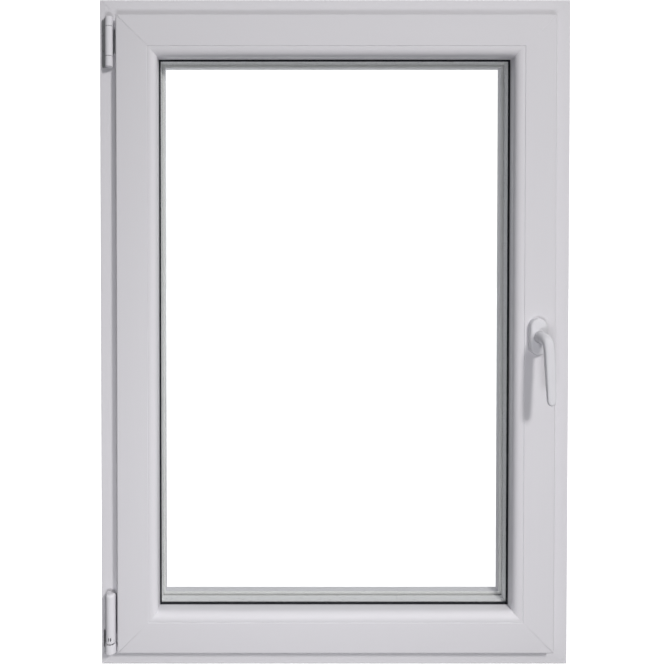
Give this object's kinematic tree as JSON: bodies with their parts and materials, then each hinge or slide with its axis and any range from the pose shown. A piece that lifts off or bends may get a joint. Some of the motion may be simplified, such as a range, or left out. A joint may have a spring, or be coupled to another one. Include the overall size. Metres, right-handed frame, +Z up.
{
  "type": "tilt-and-turn casement window",
  "caption": "White plastic casement window with a mitred frame and sash, double glazing, hidden perimeter hardware, hinge covers and a lever handle; it tilts inward and turns open.",
  "frame": {"origin": "centre of the sill's underside, at the middle of the frame's depth", "axes": "+X to the right along the sill as seen from the room, +Y outdoors, +Z up"},
  "size_m": [0.865, 0.1487, 1.23],
  "materials": {
    "upvc_white": "satin white window profile",
    "cover_plastic_white": "moulded white plastic, slightly glossier than the profile",
    "handle_white": "white powder coat, satin",
    "seal_rubber_black": "matt black weather seal",
    "seal_rubber_grey": "matt light grey weather seal",
    "glass_clear": "clear float glass",
    "spacer_aluminium": "mill finish",
    "edge_sealant_black": "matt black sealant",
    "galvanised_steel": "zinc-coated, dull",
    "hardware_zinc": "silver passivated zinc plate",
    "packer_plastic": "moulded blue plastic"
  },
  "bodies": {
    "frame": {"frame_sill": "upvc_white", "frame_head": "upvc_white", "frame_left_jamb": "upvc_white", "frame_right_jamb": "upvc_white", "frame_reinforcement": "galvanised_steel", "frame_gasket": "seal_rubber_black", "drain_caps": "cover_plastic_white", "lock_side_strikers": "hardware_zinc", "striker_head": "hardware_zinc", "striker_sill": "hardware_zinc", "tilt_keep": "hardware_zinc", "frame_hardware_screws": "hardware_zinc", "stay_bearing": "hardware_zinc", "stay_bearing_cover": "cover_plastic_white", "stay_pin": "hardware_zinc", "pivot_rest": "hardware_zinc", "pivot_pin": "hardware_zinc", "pivot_rest_cover": "cover_plastic_white"},
    "turn_carrier": {"pivot_ball": "hardware_zinc"},
    "sash": {"sash_bottom_rail": "upvc_white", "sash_top_rail": "upvc_white", "sash_hinge_stile": "upvc_white", "sash_lock_stile": "upvc_white", "sash_reinforcement": "galvanised_steel", "sash_gasket": "seal_rubber_black", "outer_pane": "glass_clear", "inner_pane": "glass_clear", "spacer_bar": "spacer_aluminium", "edge_seal": "edge_sealant_black", "outer_glazing_gasket": "seal_rubber_grey", "inner_glazing_gasket": "seal_rubber_black", "glazing_packers": "packer_plastic", "bead_top": "upvc_white", "bead_bottom": "upvc_white", "bead_left": "upvc_white", "bead_right": "upvc_white", "corner_band": "hardware_zinc", "corner_band_cover": "cover_plastic_white", "faceplate_lock_side": "hardware_zinc", "faceplate_top": "hardware_zinc", "faceplate_bottom": "hardware_zinc", "sash_screws": "hardware_zinc", "gear_case": "hardware_zinc", "corner_drives": "hardware_zinc", "corner_springs": "hardware_zinc", "handle_base_plate": "hardware_zinc", "handle_rose": "handle_white", "handle_screws": "hardware_zinc", "stay_guide_pin": "hardware_zinc"},
    "stay_arm": {"stay_arm": "hardware_zinc", "stay_arm_cover": "cover_plastic_white"},
    "handle": {"handle_lever": "handle_white", "handle_spindle": "hardware_zinc", "gear_pinion": "hardware_zinc"},
    "lock_rod": {"lock_rod": "hardware_zinc", "lock_rod_cams": "hardware_zinc"},
    "top_rod": {"top_rod": "hardware_zinc", "top_rod_cam": "hardware_zinc"},
    "bottom_rod": {"bottom_rod": "hardware_zinc", "bottom_rod_cams": "hardware_zinc"}
  },
  "joints": [
    {"name": "sash_turn", "type": "hinge", "parent": "frame", "child": "turn_carrier", "pos_m": [-0.4125, -0.045, 0.046], "axis": [0, 0, -1], "range_deg": [0, 90]},
    {"name": "sash_tilt", "type": "hinge", "parent": "turn_carrier", "child": "sash", "pos_m": [-0.4125, -0.045, 0.046], "axis": [1, 0, 0], "range_deg": [0, 6.5]},
    {"name": "stay_arm_swing", "type": "hinge", "parent": "turn_carrier", "child": "stay_arm", "pos_m": [-0.4125, -0.045, 1.15], "axis": [0, 0, -1], "range_deg": [0, 19.1]},
    {"name": "handle_turn", "type": "hinge", "parent": "sash", "child": "handle", "pos_m": [0.363, -0.054, 0.615], "axis": [0, 1, 0], "range_deg": [0, 180]},
    {"name": "lock_rod_slide", "type": "slide", "parent": "sash", "child": "lock_rod", "axis": [0, 0, -1], "range_m": [0, 0.0361]},
    {"name": "top_rod_slide", "type": "slide", "parent": "sash", "child": "top_rod", "axis": [1, 0, 0], "range_m": [0, 0.0361]},
    {"name": "bottom_rod_slide", "type": "slide", "parent": "sash", "child": "bottom_rod", "axis": [-1, 0, 0], "range_m": [0, 0.0361]}
  ],
  "couplings": [
    {"joint": "stay_arm_swing", "follows": "sash_tilt", "ratio": 2.925},
    {"joint": "lock_rod_slide", "follows": "handle_turn", "m_per_rad": 0.011459},
    {"joint": "top_rod_slide", "follows": "handle_turn", "m_per_rad": 0.011459},
    {"joint": "bottom_rod_slide", "follows": "handle_turn", "m_per_rad": 0.011459}
  ]
}
